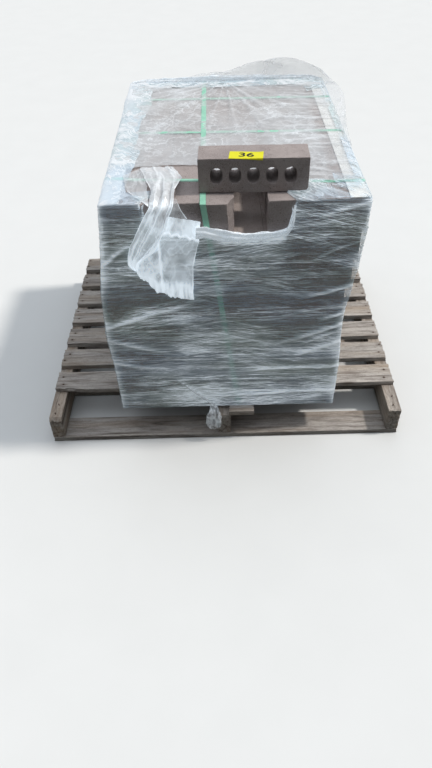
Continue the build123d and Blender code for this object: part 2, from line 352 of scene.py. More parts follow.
def board_piece(node, along_x, step, across, material, seed, shape=None):
    """A weathered board in a CAD node's place: a box with rounded edges, sunk along
    its grain and its cracks, and with ragged ends."""
    low, high = node_box(node)
    size = high - low
    if not along_x:
        size = size[[1, 0, 2]]
    lines = [edge_lines(size[0], step, 2 * MM)]
    lines += [edge_lines(side, across, 1.2 * MM) for side in size[1:]]
    vertices, faces = weld(*join_grids(box_grids(*lines)))
    x, y, z = vertices.T
    wear = 1.0 * MM + 3.0 * MM * np.clip(rough(x * 9, y * 30, z * 30, seed), 0, 1)
    shaped, outward = round_edges(vertices, size, wear)
    grain = 0.45 * MM * rough(x * 4, y * 170, z * 170, seed + 1, 2)
    split = creases(x * 2.2, y * 34, z * 34, seed + 4, 1) ** 3
    split = split * smooth_step(-0.1, 0.5, noise(x * 3, y * 9, 0, seed + 6))
    shaped -= outward * (0.5 * MM + grain + 2.6 * MM * split)[:, None]
    ragged = np.abs(2 * x / size[0] - 1) ** 15 * 2.2 * MM * (1 + rough(y * 190, z * 120, 0, seed + 8))
    shaped[:, 0] -= ragged * np.sign(x - size[0] / 2)
    on_top = z > size[2] / 2
    shaped[:, 2] += 0.8 * MM * noise(x * 2.2, 0, 0, seed + 9) * on_top
    if shape is not None:
        shaped = shape(shaped, size, seed)
    if not along_x:
        shaped = shaped[:, [1, 0, 2]]
    shaped += low
    piece = make_piece(node + "_weathered", shaped, faces, material, "wood")
    face_outwards(piece)
    stain = np.zeros(len(vertices))
    for nail_x, nail_y in nail_places.get(node, []):
        near = bell(shaped[:, 0] - nail_x, 11 * MM) * bell(shaped[:, 1] - nail_y, 4 * MM)
        stain = np.maximum(stain, near)
    give_values(piece, crack=np.maximum(split, 0.85 * stain * on_top),
                tone=own_tone(seed * 1.7, 19, len(vertices)))
    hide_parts(node)


def splintered(points, size, seed):
    """The front edge at the left end is torn back along the grain."""
    x, y, z = points.T
    edge = np.interp(x, [0, 0.036, 0.084, 0.12, 0.13], [14 * MM, 8.4 * MM, 5.6 * MM, 1 * MM, 0])
    edge = edge * (1 + 0.5 * rough(x * 160, z * 120, 0, seed + 2))
    return stacked(x, np.maximum(y, edge), z)


def snapped_left(points, size, seed):
    """The left end is broken across in splinters."""
    x, y, z = points.T
    edge = (5 + 4 * rough(y * 70, z * 60, 0, seed + 2)) * MM
    return stacked(np.maximum(x, edge), y, z)


def worn_front(points, size, seed):
    """The top front corner is rubbed down. Along the board is X, and its front is at 0."""
    return cut_corner(points, (0, 0, size[2] - 14 * MM), (-1, 0, 1), seed)


# Film

def film_piece(name, points, material, milk, glow=0.0, closed=False):
    """A piece of film from one grid of points, with how milky it is at each and how
    strongly it glows there, a painted glow that stands for light through it and glints on it."""
    shape = points.shape[:2]
    piece = make_piece(name, points.reshape(-1, 3), grid_faces(*shape, closed), material, "film")
    milk, glow = [np.broadcast_to(values, shape).ravel() for values in (milk, glow)]
    give_values(piece, milk=milk, glow=glow)
    return piece


def distance_along(points):
    """How far each point is from the first one, along the broken line through them."""
    steps = np.linalg.norm(np.diff(points, axis=0), axis=1)
    return np.concatenate([[0], np.cumsum(steps)])


def beside_line(x, y, start, end):
    """How far points are along the line from start to end, how far they are off it to
    one side, and how long it is."""
    run = np.subtract(end, start)
    length = np.hypot(*run)
    x, y = x - start[0], y - start[1]
    return (x * run[0] + y * run[1]) / length, (x * run[1] - y * run[0]) / length, length


def softened(stations, length, run, window):
    """Places at each run along a broken line, averaged over a window of neighbours."""
    axes = []
    for values in stations.T:
        padded = np.pad(np.interp(run, length, values), window // 2, mode="reflect", reflect_type="odd")
        axes.append(np.convolve(padded, np.ones(window) / window, mode="valid"))
    return stacked(*axes)


def smooth_path(stations, count):
    """Even steps along a broken line, with its corners averaged out."""
    length = distance_along(stations)
    run = np.linspace(0, length[-1], count)
    return run, softened(stations, length, run, 2 * (count // 24) + 1)


courses = [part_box(f"course_{course}_bricks") for course in range(1, 8)] + [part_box("top_course_bricks")]
joint_heights = [box[0][2] for box in courses] + [load_top]


def side_line(side, outer):
    """How far out the load's side is at the joint under each course, and at the top."""
    edges = [box[side][0] for box in courses]
    return edges[:1] + [outer(pair) for pair in zip(edges, edges[1:])] + edges[-1:]


left_line, right_line = side_line(0, min), side_line(1, max)

# The torn edge across the front: places along X and the film's height there
TEAR = np.array([
    [-224, -208, -188, -120, -58, 0, 60, 100, 150, 185, 192, 199, 212],
    [900, 884, 818, 802, 814, 798, 786, 785, 790, 797, 825, 872, 900]]) * MM

# Tight folds across the front: (x, z) of both ends, ridge height and half width, in mm
FRONT_FOLDS = [
    (-362, 478, -60, 568, 5, 6), (-340, 700, -225, 782, 5, 6), (396, 758, 200, 680, 4, 4),
    (382, 612, 210, 566, 6, 6), (372, 512, 280, 478, 5, 5), (372, 470, 130, 380, 6, 7),
    (372, 450, 200, 372, 4, 4), (376, 400, 180, 330, 5, 6), (402, 872, 215, 812, 5, 5),
    (376, 545, 150, 500, 3, 5), (-360, 430, -120, 350, 4, 7), (-352, 330, -160, 300, 4, 6),
    (380, 300, -60, 285, 3, 5), (374, 190, -340, 170, 4, 5), (-148, 246, -44, 150, 4, 4)]


def fold_ridges(x, z):
    """The sum of straight ridges that fade at both ends."""
    total = 0.0
    for x0, z0, x1, z1, height, width in FRONT_FOLDS:
        along, off, length = beside_line(x, z, (x0 * MM, z0 * MM), (x1 * MM, z1 * MM))
        off += 4 * MM * noise(along * 14, 0, 0, x0)
        fade = smooth_step(-0.02, 0.02, along) * (1 - smooth_step(0.4 * length, length, along))
        total += height * MM * fade * bell(off, width * MM)
    return total


def wrap_outline(step, corner_steps):
    """Points round the load seen from above: where each stands between the corners,
    and the outward direction there. Both ends lie over each other on the rear."""
    across, deep = [np.linspace(-1, 1, round(2 * half / step)) for half in load_half]
    quarter = np.linspace(0, math.pi / 2, corner_steps + 2)[1:-1]
    middle, overlap = len(across) // 2, 5
    sides = [(across[:middle + overlap][::-1], 1.0), (-1.0, deep[::-1]), (across, -1.0),
             (1.0, deep), (across[middle:][::-1], 1.0)]
    corners = [(-1.0, 1.0), (-1.0, -1.0), (1.0, -1.0), (1.0, 1.0)]
    places, angles = [], []
    for number, side in enumerate(sides):
        angle = (number + 1) * math.pi / 2
        places.append(stacked(*side))
        angles.append(np.full(len(places[-1]), angle))
        if number < len(corners):
            places.append(np.tile(corners[number], (corner_steps, 1)))
            angles.append(angle + quarter)
    angles = np.concatenate(angles)
    return np.concatenate(places), stacked(np.cos(angles), np.sin(angles))


def film_wrap(material):
    """The turns of film round the load, as one skin. Each column of points climbs the
    side, turns over the top edge and runs in on top as a lip, or stops at the tear.
    Rows are level up to even_climb, and above it they spread up to each column's end.
    The skin stands off the bricks by bulges, level creases and slanting folds."""
    rows, radius = 250, 9 * MM
    places, outward = wrap_outline(11 * MM, 4)
    base_x = load_middle[0] + places[:, 0] * load_half[0]
    front = (places[:, 1] < -0.999) & (outward[:, 1] < -0.9)
    round_run = distance_along(places * load_half + outward * radius)
    climb = film_top - deck_top - radius
    bend = radius * math.pi / 2
    lip = 62 * MM + 14 * MM * rough(round_run * 5, 0, 0, 31)
    lip += 26 * MM * smooth_step(0.2, 0.28, base_x) * front
    lip += 22 * MM * smooth_step(-0.2, 0.6, places[:, 1]) * (places[:, 0] < -0.99)
    lip = np.where((places[:, 0] > 0.99) & (np.abs(places[:, 1]) < 0.8), 0.2 * lip, lip)
    torn = np.interp(base_x, *TEAR) - deck_top + 3 * MM * rough(base_x * 60, 0, 0, 33)
    is_torn = front & (torn < climb + bend)
    reach = np.where(is_torn, torn, climb + bend + lip)
    even_climb, even_share = 0.60, 0.72
    share = np.linspace(0, 1, rows)[:, None]
    run = even_climb * np.minimum(share / even_share, 1)
    run = run + (reach - even_climb) * np.clip((share - even_share) / (1 - even_share), 0, 1)
    turned = np.clip((run - climb) / bend, 0, 1)
    turn = turned * math.pi / 2
    inward = radius * (1 - np.cos(turn)) + np.clip(run - climb - bend, 0, None)
    z = deck_top + np.minimum(run, climb) + radius * np.sin(turn)
    left, right = np.interp(z, joint_heights, left_line), np.interp(z, joint_heights, right_line)
    x = (left + right) / 2 + places[:, 0] * ((right - left) / 2 - inward)
    y = load_middle[1] + places[:, 1] * (load_half[1] - inward)

    level = z + 0.03 * np.sin(round_run * 3.1) + 0.05 * noise(round_run * 2, z * 3, 0, 41)
    busy = 0.35 + 0.65 * smooth_step(-0.3, 0.5, noise(round_run * 2.3, z * 6, 0, 34))
    stand = 6 * MM + 2.4 * MM * rough(round_run * 5, z * 12, 0, 35)
    stand += 1.2 * MM * busy * creases(round_run * 2.5, level * 80, 0, 36)
    stand += 0.7 * MM * creases(round_run * 7, level * 170, 0, 37)
    for lean, seed in ((0.35, 38), (-0.22, 46), (0.12, 47)):
        slant = z + lean * round_run
        where = smooth_step(0.0, 0.5, noise(round_run * 3, z * 5, 0, seed + 1))
        stand += 2.4 * MM * creases(round_run * 2, slant * 32, 0, seed, 1) * where
    over_strap = smooth_step(-0.078, -0.056, x) * smooth_step(0.066, 0.046, x)
    over_strap = over_strap * smooth_step(0.73, 0.785, z)
    bulge = 1.5 * MM + fold_ridges(x, z) + 13 * MM * over_strap
    stand = np.maximum(stand, 6.3 * MM) + np.where(front, bulge, 0)
    stand += 4 * MM * smooth_step(0.05, 0.03, round_run)
    late = smooth_step(0.55, 1, turned)
    stand = stand * (1 - late) + late * 1.5 * MM
    x += outward[:, 0] * stand
    y += outward[:, 1] * stand
    on_top = smooth_step(0, 1, turned)
    z += on_top * (1.0 * MM + 2.4 * MM * creases(x * 9, y * 12, 0, 42)
                   + 1.2 * MM * noise(x * 70, y * 70, 0, 43))
    z -= 2.5 * MM * smooth_step(0.02, 0.06, inward)

    patches = rough(round_run * 2.2, z * 7, 0, 45)
    milk = 0.20 + 0.07 * smooth_step(0.62, 0.30, z) + 0.14 * patches
    # The front is milkier beside its two corners and along the fold ridges: partly doubled film, partly
    # painted highlights there
    beside_corner = np.minimum(np.abs(x - left + 6 * MM), np.abs(right - x + 6 * MM))
    milk += front * (0.42 * bell(beside_corner, 16 * MM) + fold_ridges(x, z) / (10 * MM))
    milk -= 0.30 * front * smooth_step(0.14, 0.24, x) * smooth_step(0.60, 0.74, z) * (1 - on_top)
    lip_side = smooth_step(0, 0.5, on_top)
    left_lip = 0.34 - 5 * np.clip(inward, 0, 0.07) + 0.15 * patches
    milk += lip_side * np.where(places[:, 0] < -0.9, left_lip, 0)
    milk -= 0.22 * lip_side * (places[:, 0] > 0.9)
    torn_band = is_torn * smooth_step(0.045, 0.012, reach - run)
    milk += 0.35 * torn_band
    # Painted glow on the sides, stronger at the torn band: it stands for sunlight through the film and for
    # glints on its milky creases
    glow = (1 - on_top) * (0.75 + 0.25 * patches + 0.5 * torn_band)
    piece = film_piece("film_wrap_turns", stacked(x, y, z), material, milk, glow)
    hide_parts("film_wrap")


# Points along the strong crease that runs over the top from the gather
STRONG_CREASE = [(0.028, 0.45), (-0.052, 0.322), (-0.156, 0.152)]


def film_over_top(material):
    """The sheet over the top: level, with creases that run out from the gather at the
    rear, a strong one among them, and a torn front edge behind the loose brick."""
    rows, columns, margin = 170, 150, 0.012
    x = np.linspace(load_left + margin, load_right - margin, columns)[None, :]
    front = np.interp(x, [load_left, -0.07, 0.0, 0.22, 0.26, load_right],
                      [-0.245, -0.235, -0.29, -0.29, -0.37, -0.375])
    front += 6 * MM * rough(x * 25, 0, 0, 51)
    y = front + np.linspace(0, 1, rows)[:, None] * (load_rear - margin - front)
    gather_x, gather_y = 0.03, 0.488
    angle = np.arctan2(x - gather_x, gather_y + 0.02 - y)
    distance = np.hypot(x - gather_x, y - gather_y)
    rays = creases(angle * 5.5, distance * 1.5, 0, 52) * np.exp(-distance / 0.32)
    level = creases(x * 5, y * 38 + x * 4, 0, 53) * smooth_step(0.12, 0.3, x)
    z = film_top + 0.5 * MM + 4.5 * MM * rays + 2.0 * MM * level
    z += 1.4 * MM * rough(x * 22, y * 22, 0, 54)
    for start, end in zip(STRONG_CREASE, STRONG_CREASE[1:]):
        along, off, length = beside_line(x, y, start, end)
        off = np.hypot(off, along - np.clip(along, 0, length)) + 5 * MM * noise(x * 30, y * 30, 0, 57)
        z += 5 * MM * (0.6 + 0.5 * noise(x * 14, y * 14, 0, 56)) * bell(off, 7 * MM)
    inner = smooth_step(0.0, 0.07, x - load_left) * smooth_step(0.0, 0.07, load_right - x)
    z -= 2.6 * MM * inner
    milk = 0.29 + 0.10 * rough(x * 9, y * 7, 0, 55) + 0.45 * rays + 0.3 * level
    milk -= 0.17 * smooth_step(0.30, 0.34, x)
    piece = film_piece("film_over_top", stacked(x, y, z), material, milk)
    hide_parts("film_top_sheet")


# The flap's pieces, as pairs of points on their left and right edges, in mm
FLAP_STRIP = [
    ((-228, -262, 889), (-130, -267, 890)), ((-206, -340, 890), (-101, -360, 897)),
    ((-184, -420, 890), (-118, -436, 893)), ((-184, -468, 887), (-120, -470, 889)),
    ((-189, -487, 874), (-124, -489, 876)), ((-199, -488, 856), (-136, -491, 851)),
    ((-218, -488, 822), (-149, -492, 811)), ((-246, -489, 771), (-171, -492, 768)),
    ((-259, -489, 737), (-190, -491, 742)), ((-263, -488, 711), (-226, -488, 716)),
    ((-257, -487, 695), (-236, -487, 702)), ((-246, -487, 684), (-238, -487, 688))]
FLAP_PANEL = [
    ((-140, -483, 850), (-54, -484, 833)), ((-160, -482, 800), (-58, -485, 774)),
    ((-200, -481, 752), (-70, -485, 728)), ((-230, -482, 716), (-78, -484, 690)),
    ((-240, -483, 700), (-80, -484, 640)), ((-242, -484, 688), (-83, -485, 582))]
FLAP_CORNER = [
    ((-270, -308, 887), (-215, -258, 889)), ((-264, -350, 888), (-200, -360, 890)),
    ((-258, -388, 888), (-193, -435, 889)), ((-250, -408, 888), (-188, -484, 879))]
FLAP_WEDGE = [((-119, -466, 891), (-116, -466, 891)), ((-128, -484, 868), (-104, -484, 868)),
              ((-138, -484, 846), (-88, -484, 841))]


def ruled_sheet(pairs, rows, columns, seed):
    """Straight lines between two edges, evenly spaced along them, with a slight
    unevenness in the edges. Returns points, the run down and the share across."""
    pairs = np.array(pairs) * MM
    length = distance_along(pairs.mean(axis=1))
    run = np.linspace(0, length[-1], rows)
    edges = []
    for side in (0, 1):
        edge = softened(pairs[:, side], length, run, 7)
        edge[:, 0] += 1.6 * MM * rough(run * 45, side, 0, seed)
        edges.append(edge[:, None, :])
    share = np.linspace(0, 1, columns)[None, :]
    points = edges[0] * (1 - share[..., None]) + edges[1] * share[..., None]
    return points, run[:, None] / length[-1], share


def lift_folds(points, height):
    """Raises folds off the sheet: forwards where it hangs, upwards where it lies."""
    hang = smooth_step(load_front + 0.012, load_front - 0.006, points[..., 1])
    return points + stacked(0, -height * hang, height * (1 - hang))


def rim(share, width=0.03):
    """1 at both edges of a sheet, falling off inwards."""
    return bell(share, width) + bell(1 - share, width)


def flap_strip():
    """The strip that is gathered where it turns over the front edge: folds are even
    waves, highest at the neck, with creases that run down the strip."""
    points, run, share = ruled_sheet(FLAP_STRIP, 170, 46, 61)
    neck = bell(run - 0.40, 0.16)
    wander = share + 0.10 * noise(run * 7, share * 2, 0, 62)
    waves = np.abs(np.sin(2.5 * math.pi * wander))
    pulled = creases(share * 6 + 0.6 * run, run * 2.2, 0, 66)
    folds = (1.5 + 7 * neck) * MM * waves + 2.2 * MM * creases(share * 3 + run * 2, run * 6, 0, 63)
    folds += 1.2 * MM * rough(share * 5, run * 16, 0, 64) + 2.0 * MM * pulled
    milk = 0.40 + 0.18 * waves * neck + 0.30 * rim(share) + 0.35 * smooth_step(0.88, 0.97, run)
    return lift_folds(points, folds), milk + 0.10 * rough(share * 4, run * 9, 0, 65) + 0.35 * pulled


def flap_panel():
    """The panel that the strip tore from: a ragged hem, a seam that goes down, a
    doubled band across, and crumples over all of it."""
    points, run, share = ruled_sheet(FLAP_PANEL, 150, 90, 71)
    hem = np.interp(share, [0, 0.03, 0.2, 0.33, 0.44, 0.56, 1], [0, 22, 24, 47, 34, 34, 2]) * MM
    hem += 5 * MM * rough(share * 26, 0, 0, 72) * smooth_step(0.9, 0.6, share)
    points[..., 2] -= smooth_step(0.55, 1, run) * hem
    seam = bell(points[..., 0] + 0.170, 0.0035) * smooth_step(0.25, 0.4, run)
    band = bell(run - 0.24 - 0.02 * rough(share * 12, 0, 0, 73), 0.018)
    crumple = creases(share * 5 + run * 3, run * 6 - share * 3, 0, 78)
    folds = 3 * MM * seam + 2 * MM * band + 2.0 * MM * creases(share * 3, run * 4 + share, 0, 74)
    folds += 2.5 * MM * (1 + rough(share * 2.5, run * 3, 0, 75))
    folds += 0.8 * MM * rough(share * 16, run * 16, 0, 76) + 0.9 * MM * crumple
    milk = 0.42 + 0.22 * smooth_step(0.26, 0.22, run) + 0.35 * band + 0.35 * seam + 0.25 * rim(share, 0.02)
    milk += 0.25 * smooth_step(0.80, 0.88, run) * (1 + 0.8 * rough(share * 30, run * 5, 0, 79))
    return lift_folds(points, folds), milk + 0.12 * rough(share * 4, run * 5, 0, 77) + 0.12 * crumple


def film_flap(material):
    """The torn flap: a strip gathered where it turns over the front edge, the panel it
    tore from, a taut corner left on the bricks and a wedge between them."""
    points, run, share = ruled_sheet(FLAP_CORNER, 40, 40, 81)
    corner = lift_folds(points, 1.5 * MM * creases(share * 3, run * 4, 0, 82))
    corner_milk = 0.22 + 0.5 * smooth_step(0.93, 1, run) + 0.2 * creases(share * 4, run * 5, 0, 82)
    wedge, run, share = ruled_sheet(FLAP_WEDGE, 30, 20, 85)
    wedge_milk = 0.12 + 0.6 * bell(1 - share, 0.06) + 0 * run
    grids, milk = zip(flap_strip(), flap_panel(), (corner, corner_milk), (wedge, wedge_milk))
    vertices, faces = join_grids(grids)
    milk = np.concatenate([values.ravel() for values in milk])
    # The hanging part gets a painted glow, more where it is milkier, so that it stays bright in shade
    hanging = smooth_step(load_front + 0.006, load_front - 0.012, vertices[:, 1])
    piece = make_piece("film_flap_torn", vertices, faces, material, "film")
    give_values(piece, milk=milk, glow=hanging * (0.75 + 0.5 * np.clip(milk - 0.45, 0, 0.5)))
    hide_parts("film_flap")


# The standing fold's crest: along the rear edge to the corner, then forward down the
# right side, where it bulges over the load's edge
FOLD_CREST = np.array([
    (-170, 505, 889), (-100, 506, 900), (-47, 507, 914), (17, 507, 912), (73, 507, 926),
    (133, 508, 945), (185, 508, 956), (229, 508, 961), (296, 506, 956), (342, 500, 940),
    (398, 480, 915), (436, 420, 897), (453, 318, 890), (447, 234, 887), (428, 112, 886),
    (414, 0, 885), (408, -120, 884)]) * MM


def film_hood(material):
    """The loose fold that stands up along the rear and bulges over the right side.
    Each section is an arch from the load's top, over the crest, to the load's side."""
    rows, columns = 44, 260
    run, crest = smooth_path(FOLD_CREST, columns)
    over = np.linspace(0, 1, rows)[:, None]
    x, y, z = crest.T
    # 0 along the rear and 1 along the right side
    beside = smooth_step(load_right - 0.06, load_right + 0.012, x)
    inner_x = np.minimum(x, load_right - 0.010)
    inner_y = np.where(beside > 0, np.minimum(y, load_rear - 0.020), load_rear - 0.020)
    inner = stacked(inner_x, inner_y, film_top + 1.5 * MM)
    outer_x = x * (1 - beside) + (load_right + 0.0075) * beside
    outer_y = (load_rear + 0.0065) * (1 - beside) + y * beside
    outer = stacked(outer_x, outer_y, film_top - (16 + 18 * beside) * MM)
    arch = np.sin(over * math.pi) ** 0.75
    points = inner * (1 - over[..., None]) + outer * over[..., None]
    points += (crest - (inner + outer) / 2) * arch[..., None]
    pull = 6 * MM * creases(run * 14 + over * 1.2, over * 1.5, 0, 82)
    lift = (5 * MM * rough(run * 7, over * 1.2, 0, 81) - pull) * arch * smooth_step(0, 0.03, z - film_top)
    points += stacked(beside, 1 - beside, 0.5) * lift[..., None]
    points[..., 1] = np.minimum(points[..., 1], load_rear + 0.009)
    milk = 0.10 + 0.30 * creases(run * 8 + over * 1.5, over * 1.2, 0, 83) + 0.35 * bell(over - 0.5, 0.035)
    # A weak painted glow over the whole fold
    piece = film_piece("film_standing_fold", points, material, milk, 0.3)
    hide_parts("film_hood")


def bunch(name, stations, ripples, seed, material, milk, glow):
    """Film drawn together into a rope: a rippled oval carried along a path. Each
    station is (x, y, z, width, depth), in mm. The glow given is a painted glow."""
    stations = np.array(stations) * MM
    path, sizes = stations[:, :3], stations[:, 3:]
    rows, columns = 120, 36
    run, centre = smooth_path(path, rows)
    ahead = np.gradient(centre, axis=0)
    ahead = ahead / np.linalg.norm(ahead, axis=1, keepdims=True)
    side = np.cross(ahead, (0, -1, 0))
    side = side / np.linalg.norm(side, axis=1, keepdims=True)
    out = np.cross(side, ahead)
    angle = np.linspace(0, 2 * math.pi, columns, endpoint=False)
    around, turn, down = 1.5 * np.cos(angle), 1.5 * np.sin(angle), run[:, None]
    wave = 1 + 0.25 * np.sin(ripples * angle + down * 14) + 0.30 * rough(around, turn, down * 38, seed)
    wide, deep = [np.interp(run, distance_along(path), size)[:, None] / 2 * wave for size in sizes.T]
    points = centre[:, None, :] + side[:, None, :] * (wide * np.cos(angle))[..., None]
    points += out[:, None, :] * (deep * np.sin(angle))[..., None]
    milk += 0.5 * creases(around, turn, down * 22, seed + 3)
    milk += 0.15 * rough(around, turn, down * 60, seed + 5)
    return film_piece(name, points, material, milk, glow, closed=True)


def film_rear_band(material):
    """The gathered edge of the film along the top of the rear, and the knot in it."""
    # Its last two numbers are how milky it is and its painted glow
    piece = bunch("film_rear_gather", [
        (-322, 500, 882, 8, 8), (-306, 504, 888, 12, 9), (-200, 506, 890, 14, 9), (-60, 505, 892, 17, 11),
        (10, 499, 893, 28, 22), (60, 504, 892, 17, 11), (200, 507, 891, 13, 9), (330, 506, 890, 13, 9),
        (392, 500, 888, 10, 8), (402, 490, 878, 7, 7)], 4, 97, material, 0.35, 0.9)


def film_tail(material):
    """The film's twisted end: a cord drawn down the front that opens into a tuft."""
    front = load_front / MM - 9
    # Its last two numbers are how milky it is and its painted glow
    piece = bunch("film_tail_twisted", [
        (-146, front, 244, 5, 3), (-96, front - 2, 196, 6, 4), (-48, front - 6, 152, 8, 6),
        (-36, front - 14, 132, 26, 10), (-36, -514, 112, 44, 12), (-38, -517, 90, 52, 14),
        (-36, -517, 70, 40, 12), (-32, -515, 54, 26, 8)], 7, 91, material, 0.08, 0.35)
    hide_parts("film_tail")


def film_tear_roll(material):
    """The bunched edge of the film under the opening, from the flap to the right end."""
    front = load_front / MM - 12
    # Its last two numbers are how milky it is and its painted glow
    piece = bunch("film_tear_edge", [
        (-66, front - 12, 806, 28, 9), (-40, front - 12, 804, 30, 9), (0, front - 12, 795, 30, 9),
        (50, front - 9, 785, 26, 9), (100, front, 780, 22, 8), (150, front, 785, 20, 8),
        (180, front, 791, 18, 8), (193, front, 806, 13, 7), (199, front + 2, 840, 8, 6),
        (201, front + 4, 868, 5, 5)], 5, 95, material, 0.40, 0.8)


def nail_heads(material):
    """Flat round heads, a little proud of the deck boards: rings of points about each,
    as (share of the radius, height in mm)."""
    angle, radius = np.linspace(0, 2 * math.pi, 11), 3.8 * MM
    size, lift = np.array([(0.0, 0.7), (0.6, 0.6), (1.0, 0.1), (1.02, -1.5)]).T[..., None]
    grids = []
    for board, nails in nail_places.items():
        for x, y in nails:
            grids.append(stacked(x + radius * size * np.cos(angle), y + radius * size * np.sin(angle),
                                 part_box(board)[1][2] + lift * MM))
    make_piece("deck_nail_heads", *weld(*join_grids(grids)), material, "nails")


# The label on the loose brick: its size and its place from the brick's middle. Turns
# are in degrees.
LABEL_LENGTH, LABEL_WIDTH, LABEL_SHIFT, LABEL_OVERHANG, LABEL_TURN = 0.090, 0.046, -0.0215, 0.003, -5.0
LOOSE_TURN = -1.4
loose_low, loose_high = node_box("loose_brick")
loose_middle = (loose_low + loose_high) / 2


def on_loose_brick(height):
    """From the loose brick's middle, at one height, to the world."""
    return (Matrix.Translation((loose_middle[0], loose_middle[1], height))
            @ Matrix.Rotation(math.radians(LOOSE_TURN), 4, "Z"))


label_place = (on_loose_brick(loose_high[2])
               @ Matrix.Translation((LABEL_SHIFT, -brick_width / 2 - LABEL_OVERHANG, 0))
               @ Matrix.Rotation(math.radians(LABEL_TURN), 4, "Z"))


def label_sheet(material):
    """Paper pressed on the brick: flat on top, bent down past the brick's front edge,
    and lifted a little at one corner."""
    across, back = np.linspace(-0.5, 0.5, 61)[None, :], np.linspace(0, 1, 33)[:, None]
    x, y = LABEL_LENGTH * across, LABEL_WIDTH * back
    edge = LABEL_OVERHANG + 0.2 * MM - x * math.tan(math.radians(LABEL_TURN))
    past = np.clip(edge - y, 0, None)
    turned = 1.0 * MM * (1 - np.exp(-past / (1.0 * MM)))
    curl = 1.6 * MM * np.clip(across * 2 - 0.7, 0, 1) * np.clip(back * 2 - 1.3, 0, 1) / 0.21
    top = 0.45 * MM + 0.12 * MM * rough(x * 70, y * 70, 0, 171) + curl - (past - turned)
    y = np.where(past > 0, edge - turned, y)
    upper, under = [stacked(x, y, z) for z in (top, top - 0.25 * MM)]
    grid = np.concatenate([upper, under[::-1], upper[:1]])
    piece = make_piece("number_label", *weld(*join_grids([grid])), material, "sticker")
    piece.data.transform(label_place)
    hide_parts("lot_sticker")


def label_number(material):
    """A plain number in mesh, lying on the label."""
    curve = bpy.data.curves.new("label_number_outline", "FONT")
    curve.body = "36"
    curve.size, curve.extrude, curve.offset = 0.034, 0.00015, 0.0006
    curve.align_x, curve.align_y = "CENTER", "CENTER"
    outline = add_object("label_number_outline", curve)
    bpy.context.view_layer.update()
    mesh = bpy.data.meshes.new_from_object(outline.evaluated_get(bpy.context.evaluated_depsgraph_get()))
    bpy.data.objects.remove(outline)
    mesh.transform(label_place @ Matrix.Translation((0, LABEL_WIDTH * 0.52, 0.75 * MM))
                   @ Matrix.Scale(1.25, 4, (1, 0, 0)))
    mesh.materials.clear()
    mesh.materials.append(material)
    piece = add_object("label_number", mesh)
    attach(piece, "root")


# Materials

def shader_group(name, inputs, outputs):
    """An empty node group with named sockets, each with its kind. Returns the group,
    the sockets that its nodes read and the ones that they fill."""
    group = bpy.data.node_groups.new(name, "ShaderNodeTree")
    for side, sockets in (("INPUT", inputs), ("OUTPUT", outputs)):
        for label, kind in sockets.items():
            group.interface.new_socket(name=label, in_out=side, socket_type="NodeSocket" + kind)
    return group, group.nodes.new("NodeGroupInput").outputs, group.nodes.new("NodeGroupOutput").inputs


def feed(tree, socket, value):
    """Links a socket to another, or fills it with a number, a place or a color."""
    if isinstance(value, bpy.types.NodeSocket):
        tree.links.new(value, socket)
    else:
        socket.default_value = (*value, 1.0) if socket.type == "RGBA" else value


def add_node(tree, kind, links=None, **settings):
    """A node with its settings, and its inputs fed by name or number."""
    node = tree.nodes.new(kind)
    for name, value in settings.items():
        setattr(node, name, value)
    for key, value in (links or {}).items():
        feed(tree, node.inputs[key], value)
    return node


def math_node(tree, operation, *values, clamp=False):
    settings = {"operation": operation, "use_clamp": clamp}
    return add_node(tree, "ShaderNodeMath", dict(enumerate(values)), **settings).outputs[0]


def times(tree, first, second, clamp=False):
    return math_node(tree, "MULTIPLY", first, second, clamp=clamp)


def noise_node(tree, vector, scale, detail=3.0, roughness=0.55, distortion=0.0):
    links = {"Vector": vector, "Scale": scale, "Detail": detail, "Roughness": roughness,
             "Distortion": distortion}
    return add_node(tree, "ShaderNodeTexNoise", links).outputs["Fac"]


def span_node(tree, value, low, high, to_low=0.0, to_high=1.0):
    links = {"Value": value, "From Min": low, "From Max": high, "To Min": to_low, "To Max": to_high}
    return add_node(tree, "ShaderNodeMapRange", links, clamp=True).outputs[0]


def line_node(tree, value, level, width):
    """1 where a value passes a level, falling to 0 within a width to both sides."""
    off = math_node(tree, "ABSOLUTE", math_node(tree, "SUBTRACT", value, level))
    return span_node(tree, off, 0.0, width, 1.0, 0.0)


def mix_node(tree, share, first, second):
    links = {"Factor": share, 6: first, 7: second}
    return add_node(tree, "ShaderNodeMix", links, data_type="RGBA").outputs[2]


def attribute(tree, name):
    return add_node(tree, "ShaderNodeAttribute", attribute_name=name).outputs["Fac"]


def object_place(tree, scale=(1, 1, 1), turn=(0, 0, 0), shift=(0, 0, 0)):
    """Object coordinates, stretched, turned and shifted."""
    place = add_node(tree, "ShaderNodeTexCoord").outputs["Object"]
    links = {"Vector": place, "Scale": scale, "Rotation": turn, "Location": shift}
    return add_node(tree, "ShaderNodeMapping", links).outputs[0]


def slanted_place(tree, scale, lean):
    """Object coordinates, stretched, with Z raised along X and Y so that lines slant."""
    x, y, z = add_node(tree, "ShaderNodeSeparateXYZ", {0: object_place(tree)}).outputs
    raised = math_node(tree, "MULTIPLY_ADD", math_node(tree, "ADD", x, y), lean, z)
    parts = [times(tree, part, size) for part, size in zip((x, y, raised), scale)]
    return add_node(tree, "ShaderNodeCombineXYZ", dict(enumerate(parts))).outputs[0]


def own_shade(tree, color, low, high):
    """A color from low to high times as bright, by the tone that each piece carries."""
    lift = span_node(tree, attribute(tree, "tone"), 0, 1, low, high)
    return add_node(tree, "ShaderNodeVectorMath", {0: color, "Scale": lift}, operation="SCALE").outputs[0]


